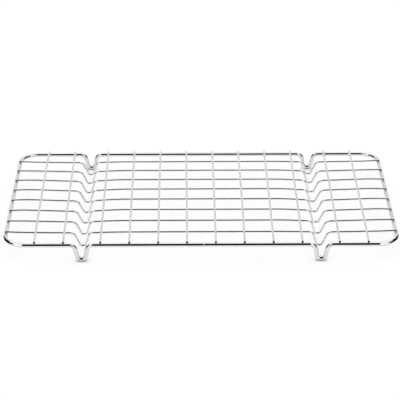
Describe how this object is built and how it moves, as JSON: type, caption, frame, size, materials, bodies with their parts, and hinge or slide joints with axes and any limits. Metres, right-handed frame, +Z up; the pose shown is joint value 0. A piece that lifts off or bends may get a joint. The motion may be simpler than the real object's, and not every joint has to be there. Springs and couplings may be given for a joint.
{
  "type": "roasting rack",
  "caption": "Flat chrome wire rack with a thick rounded outer frame folded down into feet, an open grid of thin crossed wires and small dips in the long wires.",
  "frame": {"origin": "centre of the rack's footprint, on the surface its feet stand on", "axes": "+X along the rack's length to the right, +Y along its depth to the back, +Z up"},
  "size_m": [0.457, 0.2541, 0.0279],
  "materials": {
    "frame_chrome": "bright chrome plate on drawn steel wire",
    "grid_chrome": "bright chrome plate on drawn steel wire"
  },
  "bodies": {
    "root": {"frame_wire": "frame_chrome", "long_wire_1": "grid_chrome", "long_wire_2": "grid_chrome", "long_wire_3": "grid_chrome", "long_wire_4": "grid_chrome", "long_wire_5": "grid_chrome", "long_wire_6": "grid_chrome", "long_wire_7": "grid_chrome", "long_wire_8": "grid_chrome", "cross_wire_1": "grid_chrome", "cross_wire_2": "grid_chrome", "cross_wire_3": "grid_chrome", "cross_wire_4": "grid_chrome", "cross_wire_5": "grid_chrome", "cross_wire_6": "grid_chrome", "cross_wire_7": "grid_chrome", "cross_wire_8": "grid_chrome", "cross_wire_9": "grid_chrome", "cross_wire_10": "grid_chrome", "cross_wire_11": "grid_chrome", "cross_wire_12": "grid_chrome"}
  },
  "joints": []
}
